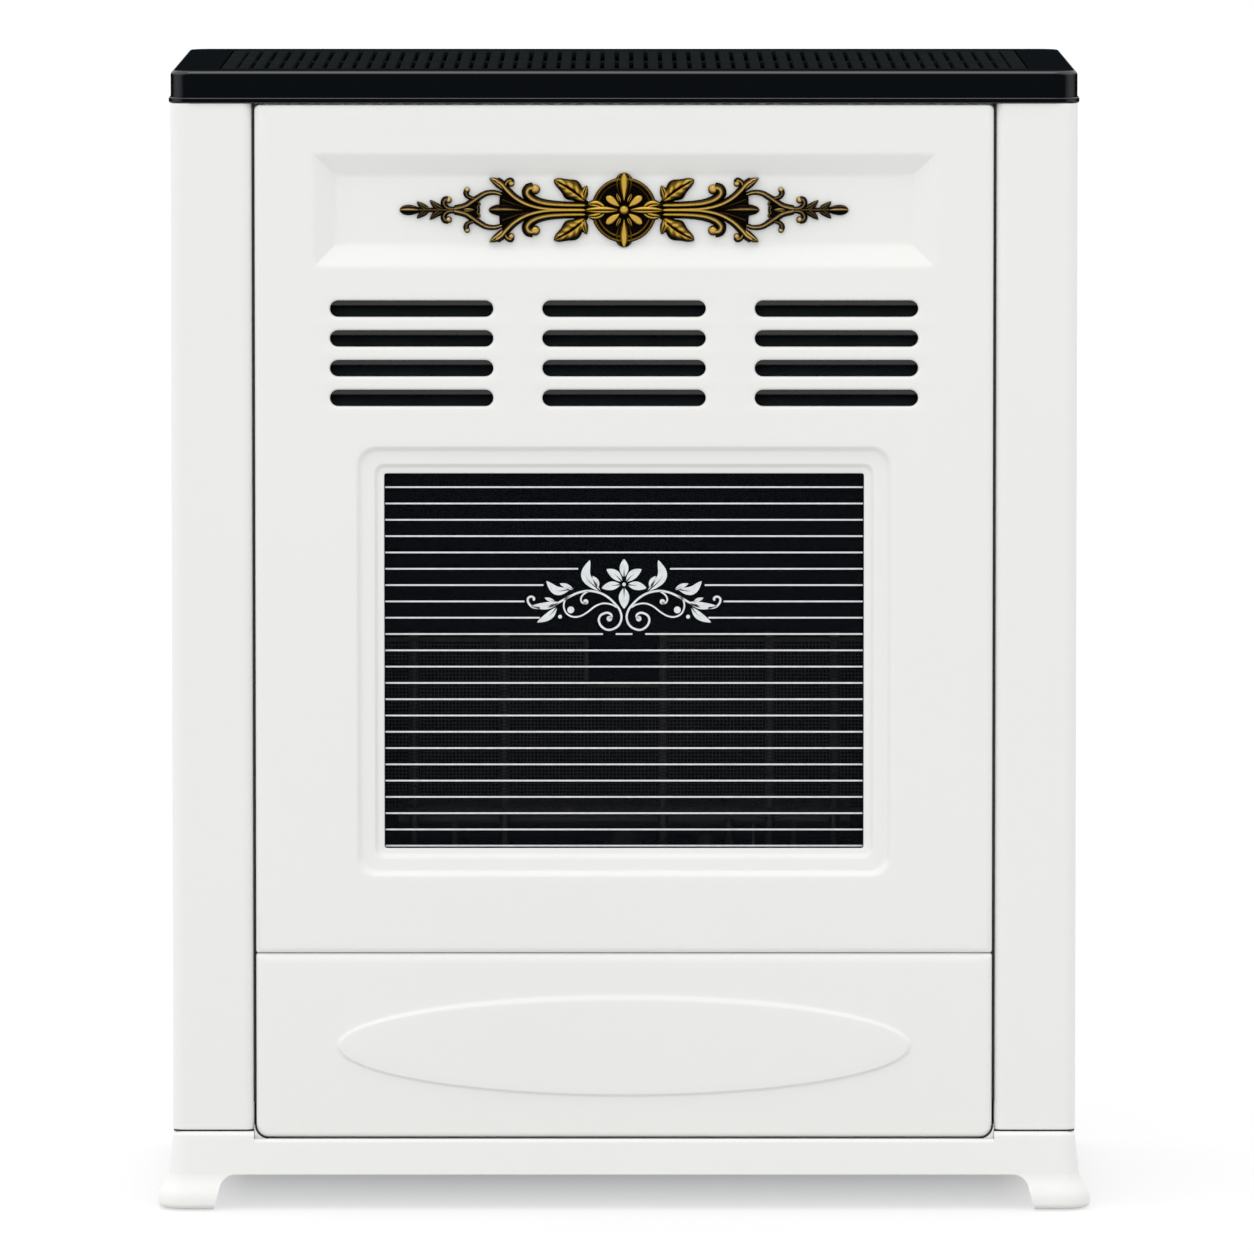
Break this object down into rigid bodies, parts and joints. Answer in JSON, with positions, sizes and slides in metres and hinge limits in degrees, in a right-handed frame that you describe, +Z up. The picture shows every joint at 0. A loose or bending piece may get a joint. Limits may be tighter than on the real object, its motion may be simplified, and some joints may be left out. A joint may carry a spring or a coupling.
{
  "type": "floor-standing gas heater",
  "caption": "Floor-standing gas heater: white enamelled casing, black top grille, gold scroll ornament, vent slots, striped window, drop-down service door and rear flue collar.",
  "frame": {"origin": "On the floor under the middle of the heater's whole box.", "axes": "+Z up, +X to the right of someone facing the heater, the front faces -Y."},
  "size_m": [0.574, 0.4046, 0.7],
  "materials": {
    "white_enamel": "glossy off-white enamel",
    "black_enamel": "high-gloss black enamel",
    "antique_gold": "antique gold plating with dark patina in the hollows",
    "window_glass": "dark heat-resistant glass with printed stripes",
    "rubber": "matt black rubber",
    "galvanised_steel": "bright galvanised sheet",
    "zinc_fasteners": "bright zinc plating",
    "heat_dark_steel": "matt heat-resistant black paint",
    "stainless_steel": "satin stainless steel",
    "brass": "plain brass",
    "cast_aluminium": "die-cast aluminium",
    "fibre_gasket": "white fibre tape",
    "white_ceramic": "glazed white insulator",
    "black_plastic": "satin black plastic",
    "red_plastic": "glossy red plastic",
    "lead_sleeve": "red silicone sleeve"
  },
  "bodies": {
    "root": {"base_plinth": "white_enamel", "left_side_panel": "white_enamel", "right_side_panel": "white_enamel", "front_panel": "white_enamel", "top_cover": "black_enamel", "top_grille": "black_enamel", "vent_louvres": "black_enamel", "ornament": "antique_gold", "window_glass": "window_glass", "foot_pads": "rubber", "floor_pan": "galvanised_steel", "rear_panel": "galvanised_steel", "front_rail": "galvanised_steel", "top_rail": "galvanised_steel", "left_chassis_plate": "galvanised_steel", "right_chassis_plate": "galvanised_steel", "rear_heat_shield": "galvanised_steel", "draught_hood": "galvanised_steel", "flue_collar": "galvanised_steel", "hinge_brackets": "galvanised_steel", "valve_bracket": "galvanised_steel", "control_fascia": "galvanised_steel", "glass_clips": "galvanised_steel", "pilot_bracket": "galvanised_steel", "burner_brackets": "galvanised_steel", "rear_panel_screws": "zinc_fasteners", "chassis_screws": "zinc_fasteners", "clip_nuts": "zinc_fasteners", "ornament_push_nuts": "zinc_fasteners", "hinge_pins": "zinc_fasteners", "firebox": "heat_dark_steel", "heat_exchanger": "heat_dark_steel", "baffle": "heat_dark_steel", "burner_tube": "stainless_steel", "venturi": "stainless_steel", "radiant_screen": "stainless_steel", "screen_posts": "stainless_steel", "pilot_burner": "stainless_steel", "thermocouple": "stainless_steel", "injector": "brass", "inlet_fitting": "brass", "burner_pipe": "brass", "pilot_pipe": "brass", "thermocouple_lead": "brass", "inlet_pipe": "brass", "gas_valve": "cast_aluminium", "glass_gasket": "fibre_gasket", "spark_electrode": "white_ceramic", "piezo_body": "black_plastic", "spill_switch": "black_plastic", "door_catch": "black_plastic", "ignition_lead": "lead_sleeve"},
    "door": {"lower_door": "white_enamel", "door_hinge_leaves": "galvanised_steel", "door_striker": "galvanised_steel"},
    "sleeve": {"spline_sleeve": "stainless_steel"},
    "knob": {"control_knob": "black_plastic", "valve_spindle": "stainless_steel"},
    "button": {"piezo_button": "red_plastic"}
  },
  "joints": [
    {"name": "door_drop", "type": "hinge", "parent": "root", "child": "door", "pos_m": [0, -0.18075, 0.052], "axis": [1, 0, 0], "range_deg": [0, 85]},
    {"name": "knob_turn", "type": "hinge", "parent": "root", "child": "sleeve", "pos_m": [-0.038, -0.13675, 0.105], "axis": [0, -1, 0], "range_deg": [0, 180]},
    {"name": "knob_push", "type": "slide", "parent": "sleeve", "child": "knob", "axis": [0, 1, 0], "range_m": [0, 0.005], "stiffness_N_per_m": 800, "springref_m": -0.004},
    {"name": "button_push", "type": "slide", "parent": "root", "child": "button", "axis": [0, 1, 0], "range_m": [0, 0.007], "stiffness_N_per_m": 800, "springref_m": -0.004}
  ]
}
